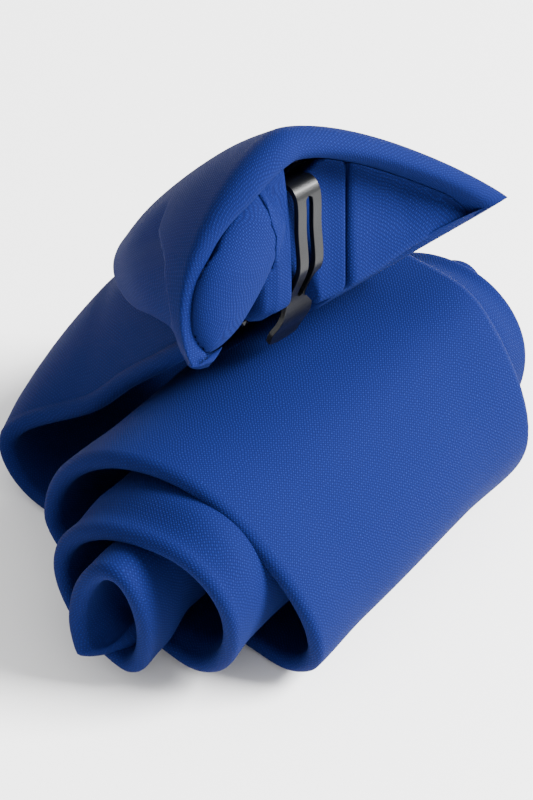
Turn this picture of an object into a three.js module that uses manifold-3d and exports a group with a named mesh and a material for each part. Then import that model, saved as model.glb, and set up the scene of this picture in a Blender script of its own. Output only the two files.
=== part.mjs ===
import * as THREE from "three";
import { mergeVertices } from "three/addons/utils/BufferGeometryUtils.js";
import Module from "manifold-3d";

// A clip-on necktie, rolled up from its point and lying on its side, with its ready-made knot on top.
// Millimetres, +Z up. The roll's axis runs along Y, and its near rim is at -Y.
// The blade leaves the roll along the floor to -X, turns over and climbs back to the knot.

const wasm = await Module();
wasm.setup();

// Blade: cloth folded round an interlining, a little thicker at its two folded edges.
const BLADE_WIDTH = 94;
const POINT_LENGTH = 40;
const NECK_WIDTH = 32.6;
const CLOTH = 2.0;
const EDGE = 3.0;
const EDGE_ROLL = 6;
const GAP = 0.3;
const LAYER_PITCH = (CLOTH + EDGE) / 2 + GAP;

// The roll's outer turn, over the blade's middle surface.
const ROLL_WIDTH = 47;
const ROLL_HEIGHT = 31.6;

// Past its outer turn the roll has nothing to hold it up, and the inner turns sag towards the floor.
// RIM_STEPS: how far in from the rim each of these turns starts to drop, from the outermost.
const RIM_STEPS = [15.5, 8.5, 3.5];
const SAG_SPREAD = 6;
const FAR_LIFT = 7;

// The blade's path from the point outwards, seen along +Y.
// turn: how many turns lie outside this row. x: share of ROLL_WIDTH from the roll's middle.
// z: share of the height that the turns outside leave free. heading: degrees, 0 is +X, 90 is up.
// sag: how far the near rim drops, in layers. lift: how far the far rim rises, share of FAR_LIFT.
const ROLL_PATH = [
  { turn: 3, x: -0.22, z: 0.73, heading: -90, sag: 1.6, lift: 0 },
  { turn: 3, x: -0.22, z: 0.51, heading: -90, sag: 1.6, lift: 0 },
  { turn: 3, x: -0.25, z: 0.31, heading: 180, sag: 1.8, lift: 0 },
  { turn: 3, x: -0.28, z: 0.51, heading: 90, sag: 1.6, lift: 0 },
  { turn: 3, x: -0.22, z: 1.0, heading: 0, sag: 1.2, lift: 0 },
  { turn: 3, x: 0.2, z: 0.61, heading: -90, sag: 1.6, lift: 0 },
  { turn: 3, x: -0.234, z: 0.0, heading: 180, sag: 2.6, lift: 0 },
  { turn: 2, x: -0.279, z: 0.47, heading: 90, sag: 1.6, lift: 0 },
  { turn: 2, x: -0.134, z: 1.0, heading: 0, sag: 1.1, lift: 0 },
  { turn: 2, x: 0.202, z: 0.55, heading: -90, sag: 1.25, lift: 0 },
  { turn: 2, x: -0.151, z: 0.0, heading: 180, sag: 1.4, lift: 0 },
  { turn: 1, x: -0.37, z: 0.5, heading: 90, sag: 0.7, lift: 0 },
  { turn: 1, x: 0.145, z: 1.0, heading: 0, sag: 0.8, lift: 0.2 },
  { turn: 1, x: 0.385, z: 0.54, heading: -90, sag: 0.55, lift: 0.2 },
  { turn: 1, x: 0.145, z: 0.0, heading: 180, sag: 0.8, lift: 0 },
  { turn: 0, x: -0.5, z: 0.41, heading: 90, sag: 0, lift: 0 },
  { turn: 0, x: -0.032, z: 1.0, heading: 0, sag: 0, lift: 0.3 },
  { turn: 0, x: 0.28, z: 0.8, heading: -42, sag: 0, lift: 1.0 },
  { turn: 0, x: 0.497, z: 0.27, heading: -90, sag: 0, lift: 0.4 },
  { turn: 0, x: 0.3, z: 0.0, heading: 180, sag: 0, lift: 0 },
];
const ROLL_CENTRE_X = -2;

// The turn under the neck, and the neck, which arches across its width as it climbs to the knot.
const TURN_REACH = 20.5;
const TURN_RISE = 7;
const TURN_FOOT = 9;
const TURN_BOW = 4;
const NECK_FOOT = [-30, 21.5];
const NECK_FOOT_ANGLE = 40;
const NECK_FOOT_BOW = 14;
const NECK_FOOT_FOLLOW = 0.6; // how much of the knot's twist the neck has there

// Knot: a wrap of padded cloth, wide at its open top and narrow where the neck goes in.
// In its frame w runs across, n out through its front and k up through its open top,
// as shares of these three sizes.
const KNOT_WIDTH = 54;
const KNOT_DEPTH = 24;
const KNOT_HEIGHT = 48;
const KNOT_LEAN = 47;
const KNOT_TWIST = 8.7;
const KNOT_ORIGIN = [1.2, 1.8, 48];
const KNOT_WALL = 2.2;
const RIM_FOLD = 6; // the front rim is turned over
const RIM_FOLD_SPREAD = 0.6; // how far round from the left end it comes to this
const WING_WALL = 4.5;
const LEFT_WING_WALL = 3.4;
const LEFT_END_POWER = 12; // a high power keeps leftMid to the left side's very end

// Sections of the knot's wrap from its bottom to its top.
// left, right, front, back: reach on each side; peak: where across it the front is highest;
// mid, leftMid: how far out its sides meet.
// leftRound and leftBend, rightRound and rightBend: a round side has 0.5 and 2, a straight one 1 and 1.
// fold: how much of RIM_FOLD the front has. wing: how much of their extra wall the two ends have.
// atLeft, atFront, atRight, atBack: heights of the section on each side.
// leftEase, rightEase: power by which the height goes from the side to the front and the back.
const KNOT_SECTIONS = [
  {
    left: 0.395, right: 0.4, front: 0.99, back: 0.02, peak: 0, mid: 0.013, leftMid: 0.3,
    leftRound: 0.36, leftBend: 2, rightRound: 0.4, rightBend: 2, fold: 0, wing: 0,
    atLeft: -0.19, atFront: -0.645, atRight: -0.19, atBack: -0.25, leftEase: 1.05, rightEase: 0.75,
  },
  {
    left: 0.45, right: 0.43, front: 1.09, back: 0.03, peak: -0.01, mid: 0.02, leftMid: 0.1,
    leftRound: 0.37, leftBend: 2, rightRound: 0.5, rightBend: 1.95, fold: 0, wing: 0.2,
    atLeft: -0.1, atFront: -0.355, atRight: -0.05, atBack: -0.2, leftEase: 1, rightEase: 0.9,
  },
  {
    left: 0.485, right: 0.485, front: 1.11, back: 0.03, peak: -0.04, mid: 0.033, leftMid: 0.1,
    leftRound: 0.38, leftBend: 1.85, rightRound: 0.7, rightBend: 1.8, fold: 0.3, wing: 0.6,
    atLeft: -0.04, atFront: 0, atRight: 0.14, atBack: -0.12, leftEase: 1.1, rightEase: 1.6,
  },
  {
    left: 0.497, right: 0.54, front: 1.04, back: 0.025, peak: -0.09, mid: 0.04, leftMid: 0.05,
    leftRound: 0.39, leftBend: 1.6, rightRound: 0.93, rightBend: 1.42, fold: 1, wing: 1,
    atLeft: -0.02, atFront: 0.365, atRight: 0.33, atBack: -0.01, leftEase: 1.3, rightEase: 2,
  },
];
// The neck stops inside the wrap, below the folds that fill its mouth.
const NECK_END = -0.15;
const NECK_IN = -0.6;

// Folds that fill the knot's mouth: a roll of cloth left of the clip, a panel right of it and
// the lining of the right wing. A row is one place across the knot, and its top slopes from the
// front down to the back, arched by crown.
const FOLD_BOTTOM = -0.14;
const FOLD_ROUND = 1.6;
const CORE = [
  { w: -0.19, backN: 0.3, backK: 0.04, frontN: 0.9, frontK: 0.24, crown: 0.01 },
  { w: -0.15, backN: 0.25, backK: 0.055, frontN: 0.92, frontK: 0.27, crown: 0.02 },
  { w: -0.09, backN: 0.24, backK: 0.06, frontN: 0.92, frontK: 0.285, crown: 0.01 },
];
const PANEL = [
  { w: -0.083, backN: 0.24, backK: 0.02, frontN: 0.74, frontK: 0.168, crown: 0 },
  { w: 0.05, backN: 0.24, backK: 0.02, frontN: 0.76, frontK: 0.175, crown: 0.005 },
  { w: 0.17, backN: 0.3, backK: 0.035, frontN: 0.74, frontK: 0.21, crown: 0.005 },
];
const LINING = [
  { w: 0.176, backN: 0.15, backK: 0.035, frontN: 0.7, frontK: 0.22, crown: -0.01 },
  { w: 0.3, backN: 0.14, backK: 0.1, frontN: 0.54, frontK: 0.235, crown: -0.02 },
  { w: 0.42, backN: 0.14, backK: 0.195, frontN: 0.38, frontK: 0.24, crown: -0.01 },
];

// The left wing's inner fold, from the front of the mouth down to the wing's tip: its left and
// right edges, and how thick it is.
const TONGUE = [
  { leftW: -0.185, leftN: 0.81, leftK: 0.19, rightW: -0.155, rightN: 0.78, rightK: 0.185, thick: 0.1 },
  { leftW: -0.28, leftN: 0.67, leftK: 0.145, rightW: -0.115, rightN: 0.55, rightK: 0.14, thick: 0.22 },
  { leftW: -0.38, leftN: 0.45, leftK: 0.085, rightW: -0.185, rightN: 0.34, rightK: 0.062, thick: 0.25 },
  { leftW: -0.42, leftN: 0.24, leftK: 0.012, rightW: -0.3, rightN: 0.16, rightK: 0, thick: 0.16 },
  { leftW: -0.42, leftN: 0.155, leftK: -0.005, rightW: -0.395, rightN: 0.14, rightK: -0.007, thick: 0.05 },
];

// Clip: a sprung steel strip with a long slot. It rises inside the knot, crosses its mouth from
// front to back and ends in a paddle behind the back rim, over a small plate.
const HOOK_AT = -0.037;
const HOOK_WIDTH = 5;
const HOOK_STEEL = 0.9;
const SLOT_WIDTH = 1.4;
const PADDLE_WIDTH = 6.6;
// wide: 0 is HOOK_WIDTH and 1 is PADDLE_WIDTH.
const HOOK_PATH = [
  { n: 0.8, k: -0.08, wide: 0 },
  { n: 0.8, k: 0.09, wide: 0 },
  { n: 0.78, k: 0.175, wide: 0 },
  { n: 0.735, k: 0.222, wide: 0 },
  { n: 0.66, k: 0.225, wide: 0 },
  { n: 0.46, k: 0.148, wide: 0 },
  { n: 0.27, k: 0.075, wide: 0 },
  { n: 0.22, k: 0.035, wide: 0 },
  { n: 0.15, k: -0.04, wide: 0 },
  { n: 0.035, k: -0.115, wide: 0.8 },
  { n: -0.01, k: -0.185, wide: 1 },
  { n: -0.045, k: -0.23, wide: 0.6 },
  { n: -0.055, k: -0.25, wide: -1.6 },
];
const SLOT_FROM = 0.34;
const SLOT_TO = 0.68;
const PLATE_WIDTH = 13;
const PLATE_HEIGHT = 8;
const PLATE_STEEL = 1;
const PLATE_AT = { w: -0.083, n: 0.162, k: -0.215 };
const NOTCH_TOP = 0.1;

const CLOTH_BLUE = 0x1f4fa8;
const clothMaterial = () => new THREE.MeshStandardMaterial({ color: CLOTH_BLUE, roughness: 0.9, metalness: 0 });
const steelMaterial = () => new THREE.MeshStandardMaterial({ color: 0x101114, roughness: 0.3, metalness: 0.8 });

const smooth = (t) => {
  const c = Math.min(Math.max(t, 0), 1);
  return c * c * (3 - 2 * c);
};
const mix = (a, b, t) => a + (b - a) * t;
const radians = (degrees) => (degrees * Math.PI) / 180;

// A closed body from rings of points: quads between neighbouring rings, and a fan over each end,
// or the last ring joined to the first where the rings run round a hole.
function ringBody(rings, closed) {
  const count = rings[0].length;
  const positions = rings.flat().flat();
  const index = [];
  const spans = closed ? rings.length : rings.length - 1;
  for (let i = 0; i < spans; i++) {
    const a = i * count;
    const b = ((i + 1) % rings.length) * count;
    for (let j = 0; j < count; j++) {
      const j2 = (j + 1) % count;
      index.push(a + j, a + j2, b + j2, a + j, b + j2, b + j);
    }
  }
  if (!closed) {
    for (const [ring, first] of [[rings[0], 0], [rings.at(-1), (rings.length - 1) * count]]) {
      const centre = [0, 1, 2].map((axis) => ring.reduce((sum, p) => sum + p[axis], 0) / count);
      const c = positions.length / 3;
      positions.push(...centre);
      for (let j = 0; j < count; j++) {
        const j2 = (j + 1) % count;
        if (first === 0) index.push(c, first + j2, first + j);
        else index.push(c, first + j, first + j2);
      }
    }
  }
  const geometry = new THREE.BufferGeometry();
  geometry.setAttribute("position", new THREE.Float32BufferAttribute(positions, 3));
  geometry.setIndex(index);
  return facingOut(geometry);
}

// Turns a closed geometry's faces outwards, by the sign of its volume.
function facingOut(geometry) {
  const p = geometry.attributes.position;
  const index = geometry.index.array;
  const [a, b, c] = [new THREE.Vector3(), new THREE.Vector3(), new THREE.Vector3()];
  let volume = 0;
  for (let i = 0; i < index.length; i += 3) {
    a.fromBufferAttribute(p, index[i]);
    b.fromBufferAttribute(p, index[i + 1]);
    c.fromBufferAttribute(p, index[i + 2]);
    volume += a.dot(b.cross(c)) / 6;
  }
  if (volume < 0) {
    for (let i = 0; i < index.length; i += 3) [index[i], index[i + 1]] = [index[i + 1], index[i]];
  }
  return geometry;
}

function mesh(name, geometry, material) {
  geometry.computeVertexNormals();
  const piece = new THREE.Mesh(geometry, material);
  piece.name = name;
  return piece;
}

// The rows of the whole path in X and Z, with the turn and the neck after the roll.
function pathRows() {
  const bottom = EDGE / 2;
  const rows = ROLL_PATH.map((row) => {
    const free = ROLL_HEIGHT - 2 * row.turn * LAYER_PITCH;
    return {
      x: ROLL_CENTRE_X + row.x * ROLL_WIDTH - Math.sign(row.x) * row.turn * LAYER_PITCH,
      z: bottom + row.turn * LAYER_PITCH + row.z * free,
      heading: row.heading,
      sag: row.sag,
      lift: row.lift,
      bow: 0,
      follow: 0,
    };
  });
  const left = ROLL_CENTRE_X - 0.5 * ROLL_WIDTH - TURN_REACH;
  const flat = { sag: 0, lift: 0 };
  rows.push({ x: left + TURN_FOOT, z: bottom, heading: 180, bow: 0, follow: 0, ...flat });
  rows.push({ x: left, z: bottom + TURN_RISE, heading: 90, bow: TURN_BOW, follow: 0, ...flat });
  const [footX, footZ] = NECK_FOOT;
  const foot = { heading: NECK_FOOT_ANGLE, bow: NECK_FOOT_BOW, follow: NECK_FOOT_FOLLOW };
  rows.push({ x: footX, z: footZ, ...foot, ...flat });
  const seat = (KNOT_WALL + 2 * GAP + EDGE / 2) / KNOT_DEPTH;
  const crown = KNOT_DEPTH * KNOT_SECTIONS[0].front - 2 * (KNOT_WALL + GAP) - (EDGE + CLOTH) / 2;
  for (const k of [NECK_IN, NECK_END]) {
    const [x, , z] = inKnot(0, seat, k);
    rows.push({ x, z, heading: KNOT_LEAN, bow: crown, follow: 1, ...flat });
  }
  return rows;
}

// Stations along the path: a cubic arc between each two rows, its ends along their headings.
function pathStations(rows) {
  const TURN_STEP = 15;
  const LENGTH_STEP = 9;
  const LEAST_HANDLE = 0.2;
  const blend = (a, b, t) => {
    const between = {};
    for (const key of ["sag", "lift", "bow", "follow"]) between[key] = mix(a[key], b[key], t);
    return between;
  };
  const stations = [];
  for (let i = 0; i + 1 < rows.length; i++) {
    const [a, b] = [rows[i], rows[i + 1]];
    let turn = Math.abs(a.heading - b.heading) % 360;
    turn = Math.min(turn, 360 - turn);
    const chord = [b.x - a.x, b.z - a.z];
    const length = Math.hypot(...chord);
    const reach = turn > 1 ? (4 / 3) * Math.tan(radians(turn) / 4) / Math.sin(radians(turn)) : 1 / 3;
    const handle = (heading) => {
      const direction = [Math.cos(radians(heading)), Math.sin(radians(heading))];
      const along = Math.max(chord[0] * direction[0] + chord[1] * direction[1], LEAST_HANDLE * length);
      return direction.map((v) => v * along * reach);
    };
    const [out, into] = [handle(a.heading), handle(b.heading)];
    const steps = Math.max(1, Math.ceil(turn / TURN_STEP), Math.ceil(length / LENGTH_STEP));
    for (let j = 0; j < steps + (i + 2 === rows.length ? 1 : 0); j++) {
      const t = j / steps;
      const u = 1 - t;
      const at = (k) => {
        const [p0, p3] = k === 0 ? [a.x, b.x] : [a.z, b.z];
        return u ** 3 * p0 + 3 * u * u * t * (p0 + out[k]) + 3 * u * t * t * (p3 - into[k]) + t ** 3 * p3;
      };
      stations.push({ x: at(0), z: at(1), ...blend(a, b, smooth(t)) });
    }
  }
  let s = 0;
  stations.forEach((station, i) => {
    const before = stations[Math.max(i - 1, 0)];
    const after = stations[Math.min(i + 1, stations.length - 1)];
    s += Math.hypot(station.x - before.x, station.z - before.z);
    station.s = s;
    const run = Math.hypot(after.x - before.x, after.z - before.z);
    station.tangent = [(after.x - before.x) / run, (after.z - before.z) / run];
  });
  return stations;
}

// Half-width of the blade at the length s from its point.
function halfWidth(s, total) {
  const taper = (BLADE_WIDTH - NECK_WIDTH) / 2 / (total - POINT_LENGTH);
  const sides = BLADE_WIDTH / 2 - taper * Math.max(s - POINT_LENGTH, 0);
  return Math.max(Math.min(sides, (BLADE_WIDTH / 2) * (s / POINT_LENGTH)), EDGE);
}

// Shares of the half-width at which a section of the blade has points.
const ACROSS = [0, 0.4, 0.62, 0.74, 0.84, 0.93, 1];

function bladeBody() {
  const stations = pathStations(pathRows());
  const total = stations.at(-1).s;
  const drop = (sag, y) => {
    let sum = 0;
    RIM_STEPS.forEach((step, turn) => {
      const outside = Math.abs(y) - (BLADE_WIDTH / 2 - step);
      sum += Math.min(Math.max(sag - turn, 0), 1) * smooth(outside / SAG_SPREAD);
    });
    return sum * LAYER_PITCH;
  };
  const shares = [...ACROSS.slice(1).map((v) => -v).reverse(), ...ACROSS];
  const rings = stations.map(({ x, z, s, tangent, sag, lift, bow, follow }) => {
    const half = halfWidth(s, total) - EDGE / 2;
    const twist = radians(KNOT_TWIST) * follow;
    const shift = KNOT_ORIGIN[1] * follow;
    const across = [Math.sin(twist) * tangent[1], Math.cos(twist), -Math.sin(twist) * tangent[0]];
    const normal = [-Math.cos(twist) * tangent[1], Math.sin(twist), Math.cos(twist) * tangent[0]];
    const place = (y, out, raise) => [
      x + y * across[0] + out * normal[0],
      shift + y * across[1] + out * normal[1],
      z + y * across[2] + out * normal[2] + raise,
    ];
    const raiseAt = (y) => (lift * FAR_LIFT * (y / half + 1)) / 2 - drop(sag, y);
    const point = (y, side) => {
      const toEdge = Math.min((half - Math.abs(y)) / EDGE_ROLL, 1);
      const thick = mix(EDGE, CLOTH, smooth(toEdge)) / 2;
      return place(y, side * thick + bow * (1 - (y / half) ** 2), raiseAt(y));
    };
    const rounded = (end, angle) => {
      const y = end * (half + (EDGE / 2) * Math.cos(angle));
      return place(y, Math.sin(angle) * (EDGE / 2), raiseAt(end * half));
    };
    return [
      ...shares.map((v) => point(v * half, 1)),
      rounded(1, radians(45)), rounded(1, 0), rounded(1, radians(-45)),
      ...shares.map((v) => point(-v * half, -1)),
      rounded(-1, radians(-45)), rounded(-1, 0), rounded(-1, radians(45)),
    ];
  });
  return ringBody(rings, false);
}

// The knot's frame leans back with the neck and is turned a little about its own axis.
const lean = radians(KNOT_LEAN);
const twist = radians(KNOT_TWIST);
const KNOT_K = new THREE.Vector3(Math.cos(lean), 0, Math.sin(lean));
const plainNormal = new THREE.Vector3(-Math.sin(lean), 0, Math.cos(lean));
const plainAcross = new THREE.Vector3(0, 1, 0);
const KNOT_W = plainAcross.clone().multiplyScalar(Math.cos(twist)).addScaledVector(plainNormal, -Math.sin(twist));
const KNOT_N = plainNormal.clone().multiplyScalar(Math.cos(twist)).addScaledVector(plainAcross, Math.sin(twist));
function inKnotMm(w, n, k) {
  const p = new THREE.Vector3(...KNOT_ORIGIN);
  p.addScaledVector(KNOT_W, w).addScaledVector(KNOT_N, n).addScaledVector(KNOT_K, k);
  return p.toArray();
}
function inKnot(w, n, k) {
  return inKnotMm(w * KNOT_WIDTH, n * KNOT_DEPTH, k * KNOT_HEIGHT);
}

// One closed ring of the wrap: its outer face, or its inner face when inner, moved in by inset.
function wrapRing(section, inner, inset) {
  const STEPS = 32;
  const ring = [];
  for (let j = 0; j < STEPS; j++) {
    const angle = (2 * Math.PI * j) / STEPS;
    const [c, s] = [Math.cos(angle), Math.sin(angle)];
    const onRight = c > 0;
    const wing = mix(KNOT_WALL, onRight ? WING_WALL : LEFT_WING_WALL, section.wing);
    const reach = onRight ? section.right - section.peak : section.left + section.peak;
    const side = KNOT_WIDTH * reach - (inner ? wing : 0) - inset;
    const fold = section.fold * (RIM_FOLD - KNOT_WALL) * smooth((c + 1) / RIM_FOLD_SPREAD);
    const wall = inner ? KNOT_WALL + (s > 0 ? fold : 0) : 0;
    const depth = KNOT_DEPTH * (s > 0 ? section.front : section.back) - wall - inset;
    const bend = s > 0 ? (onRight ? section.rightBend : section.leftBend) : 2;
    const round = s > 0 ? (onRight ? section.rightRound : section.leftRound) : 0.5;
    const arch = Math.max(1 - Math.abs(c) ** bend, 0) ** round;
    const end = onRight ? section.atRight : section.atLeft;
    const face = s > 0 ? section.atFront : section.atBack;
    const ease = onRight ? section.rightEase : section.leftEase;
    const k = mix(end, face, Math.abs(s) ** ease) * KNOT_HEIGHT;
    const sideOut = onRight ? section.mid : mix(section.mid, section.leftMid, c ** LEFT_END_POWER);
    const out = (s > 0 ? mix(sideOut, section.mid, arch) : sideOut) * KNOT_DEPTH;
    ring.push(inKnotMm(section.peak * KNOT_WIDTH + side * c, out + Math.sign(s) * depth * arch, k));
  }
  return ring;
}

// The wrap's sections with more of them worked out between each two.
function wrapSections() {
  const STEPS = 4;
  const sections = [];
  KNOT_SECTIONS.forEach((section, i) => {
    const next = KNOT_SECTIONS[i + 1];
    if (!next) return sections.push(section);
    for (let j = 0; j < STEPS; j++) {
      const between = {};
      for (const key of Object.keys(section)) between[key] = mix(section[key], next[key], j / STEPS);
      sections.push(between);
    }
  });
  return sections;
}

function toSolid(geometry) {
  const merged = geometry.clone();
  merged.deleteAttribute("normal");
  merged.deleteAttribute("uv");
  const tidy = mergeVertices(merged);
  const triVerts = new Uint32Array(tidy.index.array);
  return new wasm.Manifold(new wasm.Mesh({ numProp: 3, vertProperties: tidy.attributes.position.array, triVerts }));
}

function fromSolid(solid) {
  const { vertProperties, triVerts, numProp } = solid.getMesh();
  const positions = [];
  for (let i = 0; i < vertProperties.length; i += numProp) positions.push(...vertProperties.slice(i, i + 3));
  const geometry = new THREE.BufferGeometry();
  geometry.setAttribute("position", new THREE.Float32BufferAttribute(positions, 3));
  geometry.setIndex([...triVerts]);
  return geometry;
}

// A block in the knot's frame, in millimetres.
function knotBox(w0, w1, n0, n1, k0, k1) {
  const corners = (k) => [[w0, n0], [w1, n0], [w1, n1], [w0, n1]].map(([w, n]) => inKnotMm(w, n, k));
  return ringBody([corners(k0), corners(k1)], false);
}

function wrapBody() {
  const sections = wrapSections();
  const outer = sections.map((section) => wrapRing(section, false, 0));
  const inner = sections.map((section) => wrapRing(section, true, 0)).reverse();
  const wrap = toSolid(ringBody([...outer, ...inner], true));
  const middle = PLATE_AT.w * KNOT_WIDTH;
  const half = PLATE_WIDTH / 2 + GAP;
  const foot = PLATE_AT.k * KNOT_HEIGHT - PLATE_HEIGHT / 2 - GAP;
  const depth = KNOT_DEPTH * PLATE_AT.n + KNOT_WALL;
  const notch = knotBox(middle - half, middle + half, -depth, depth, foot, NOTCH_TOP * KNOT_HEIGHT);
  return fromSolid(wrap.subtract(toSolid(notch)));
}

// Everything outside the wrap's inner face, less a clearance: what a fold inside is cut by.
function aroundMouth() {
  const sections = wrapSections();
  const outer = sections.map((section) => wrapRing(section, false, -KNOT_DEPTH / 2));
  const inner = sections.map((section) => wrapRing(section, true, GAP)).reverse();
  return toSolid(ringBody([...outer, ...inner], true));
}

// How far a rounded edge lies in at the distance d from its end.
const edgeInset = (d) => FOLD_ROUND * (1 - Math.sqrt(1 - (1 - Math.min(d / FOLD_ROUND, 1)) ** 2));

// A fold in the mouth, through its rows from left to right, with rounded top edges.
function foldSolid(rows) {
  const SLOPE_STEPS = 7;
  const EDGE_SHARES = [0, 0.1, 0.35, 1];
  const [first, last] = [rows[0].w * KNOT_WIDTH, rows.at(-1).w * KNOT_WIDTH];
  const near = EDGE_SHARES.map((share) => share * FOLD_ROUND);
  const inside = rows.slice(1, -1).map((row) => row.w * KNOT_WIDTH);
  const places = [...near.map((d) => first + d), ...inside, ...near.map((d) => last - d).reverse()];
  const rings = places.map((w) => {
    const share = w / KNOT_WIDTH;
    const j = Math.max(rows.findLastIndex((row, i) => row.w <= share && i < rows.length - 1), 0);
    const t = (share - rows[j].w) / (rows[j + 1].w - rows[j].w);
    const row = {};
    for (const key of Object.keys(rows[0])) row[key] = mix(rows[j][key], rows[j + 1][key], t);
    const inset = edgeInset(Math.min(w - first, last - w));
    const [back, front] = [row.backN * KNOT_DEPTH + inset, row.frontN * KNOT_DEPTH - inset];
    const top = [];
    for (let i = 0; i <= SLOPE_STEPS; i++) {
      const along = smooth(i / SLOPE_STEPS);
      const n = mix(back, front, along);
      const arch = row.crown * (1 - (2 * along - 1) ** 2);
      const k = (mix(row.backK, row.frontK, along) + arch) * KNOT_HEIGHT;
      top.push([w, n, k - inset - edgeInset(Math.min(n - back, front - n))]);
    }
    const bottom = FOLD_BOTTOM * KNOT_HEIGHT;
    return [...top, [w, front, bottom], [w, back, bottom]].map((p) => inKnotMm(...p));
  });
  return toSolid(ringBody(rings, false));
}

// The left wing's inner fold, oval in section between its two edges, or grown by a clearance.
function tongueSolid(grown) {
  const SIDES = 12;
  const STEPS = 11;
  const edge = (side) => new THREE.CatmullRomCurve3(TONGUE.map((row) => {
    return new THREE.Vector3(...inKnot(row[side + "W"], row[side + "N"], row[side + "K"]));
  }));
  const [leftEdge, rightEdge] = [edge("left"), edge("right")];
  const rings = [];
  for (let i = 0; i <= STEPS; i++) {
    const t = i / STEPS;
    const at = t * (TONGUE.length - 1);
    const j = Math.min(Math.floor(at), TONGUE.length - 2);
    const thick = mix(TONGUE[j].thick, TONGUE[j + 1].thick, at - j) * KNOT_DEPTH;
    const [left, right] = [leftEdge.getPoint(t), rightEdge.getPoint(t)];
    const centre = left.clone().lerp(right, 0.5);
    centre.addScaledVector(leftEdge.getTangent(t), (2 * t - 1) * grown);
    const across = right.clone().sub(left).divideScalar(2);
    across.setLength(across.length() + grown);
    const up = KNOT_K.clone().addScaledVector(across, -KNOT_K.dot(across) / across.lengthSq()).normalize();
    const ring = [];
    for (let side = 0; side < SIDES; side++) {
      const angle = (2 * Math.PI * side) / SIDES;
      const p = centre.clone();
      p.addScaledVector(across, Math.cos(angle));
      p.addScaledVector(up, (thick / 2 + grown) * Math.sin(angle));
      ring.push(p.toArray());
    }
    rings.push(ring);
  }
  return toSolid(ringBody(rings, false));
}

// A flat strip along the hook's path from one share of its length to another.
function stripBody(from, to, steps, widthAt, thickness) {
  const points = HOOK_PATH.map(({ n, k }) => new THREE.Vector3(...inKnot(HOOK_AT, n, k)));
  const curve = new THREE.CatmullRomCurve3(points, false, "centripetal");
  const rings = [];
  for (let i = 0; i <= steps; i++) {
    const t = mix(from, to, i / steps);
    const centre = curve.getPoint(t);
    const up = new THREE.Vector3().crossVectors(curve.getTangent(t), KNOT_W);
    const half = widthAt(t) / 2;
    const corners = [[-half, -1], [half, -1], [half, 1], [-half, 1]];
    rings.push(corners.map(([w, side]) => {
      return centre.clone().addScaledVector(KNOT_W, w).addScaledVector(up, (side * thickness) / 2).toArray();
    }));
  }
  return ringBody(rings, false);
}

function hookBody() {
  const widthAt = (t) => {
    const at = t * (HOOK_PATH.length - 1);
    const j = Math.min(Math.floor(at), HOOK_PATH.length - 2);
    return mix(HOOK_WIDTH, PADDLE_WIDTH, mix(HOOK_PATH[j].wide, HOOK_PATH[j + 1].wide, at - j));
  };
  const STRIP_STEPS = 38;
  const SLOT_STEPS = 14;
  const THROUGH = 3 * HOOK_STEEL;
  const strip = toSolid(stripBody(0, 1, STRIP_STEPS, widthAt, HOOK_STEEL));
  const slot = toSolid(stripBody(SLOT_FROM, SLOT_TO, SLOT_STEPS, () => SLOT_WIDTH, THROUGH));
  return fromSolid(strip.subtract(slot));
}

function plateBody() {
  const { w, n, k } = PLATE_AT;
  const [cw, cn, ck] = [w * KNOT_WIDTH, n * KNOT_DEPTH, k * KNOT_HEIGHT];
  const half = [PLATE_WIDTH / 2, PLATE_STEEL / 2, PLATE_HEIGHT / 2];
  return knotBox(cw - half[0], cw + half[0], cn - half[1], cn + half[1], ck - half[2], ck + half[2]);
}

const tie = new THREE.Group();
tie.add(mesh("blade", bladeBody(), clothMaterial()));
tie.add(mesh("knot_wrap", wrapBody(), clothMaterial()));
const inMouth = (solid) => fromSolid(solid.subtract(aroundMouth()));
tie.add(mesh("knot_core_fold", inMouth(foldSolid(CORE).subtract(tongueSolid(GAP))), clothMaterial()));
tie.add(mesh("knot_panel_fold", inMouth(foldSolid(PANEL)), clothMaterial()));
tie.add(mesh("knot_lining_fold", inMouth(foldSolid(LINING)), clothMaterial()));
tie.add(mesh("knot_wing_fold", inMouth(tongueSolid(0)), clothMaterial()));
tie.add(mesh("clip_hook", hookBody(), steelMaterial()));
tie.add(mesh("clip_plate", plateBody(), steelMaterial()));

// Centred over the origin and standing on the floor.
const box = new THREE.Box3().setFromObject(tie);
const base = box.getCenter(new THREE.Vector3()).setZ(box.min.z);
for (const piece of tie.children) piece.geometry.translate(-base.x, -base.y, -base.z);

export default tie;
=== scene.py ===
"""A clip-on necktie, rolled up from its point, with its ready-made knot and sprung clip on top.

Sizes are in millimetres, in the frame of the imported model, and turn into metres with each mesh.
"""
import math

import bmesh
import bpy
import numpy as np
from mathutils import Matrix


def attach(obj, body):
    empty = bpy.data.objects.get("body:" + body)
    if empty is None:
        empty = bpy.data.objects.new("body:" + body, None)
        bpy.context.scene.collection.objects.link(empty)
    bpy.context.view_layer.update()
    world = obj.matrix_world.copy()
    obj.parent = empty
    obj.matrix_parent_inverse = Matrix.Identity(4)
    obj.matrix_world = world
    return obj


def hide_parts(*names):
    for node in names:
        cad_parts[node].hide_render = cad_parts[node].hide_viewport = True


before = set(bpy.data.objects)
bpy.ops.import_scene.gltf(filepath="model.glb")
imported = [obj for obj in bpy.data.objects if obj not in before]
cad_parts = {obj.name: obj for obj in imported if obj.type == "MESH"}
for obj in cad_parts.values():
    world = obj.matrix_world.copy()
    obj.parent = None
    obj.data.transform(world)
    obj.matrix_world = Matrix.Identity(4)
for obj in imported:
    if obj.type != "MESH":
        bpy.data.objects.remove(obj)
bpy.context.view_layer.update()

# The view: from above and to the right of the roll's near rim, at the photograph's angle.
VIEW_TURN = math.radians(38)
VIEW_RISE = math.radians(42)
VIEW_DISTANCE = 560
VIEW_TARGET = np.array([8.0, -3.6, 28.3])
LENS = 163.8
SENSOR = 36
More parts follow.
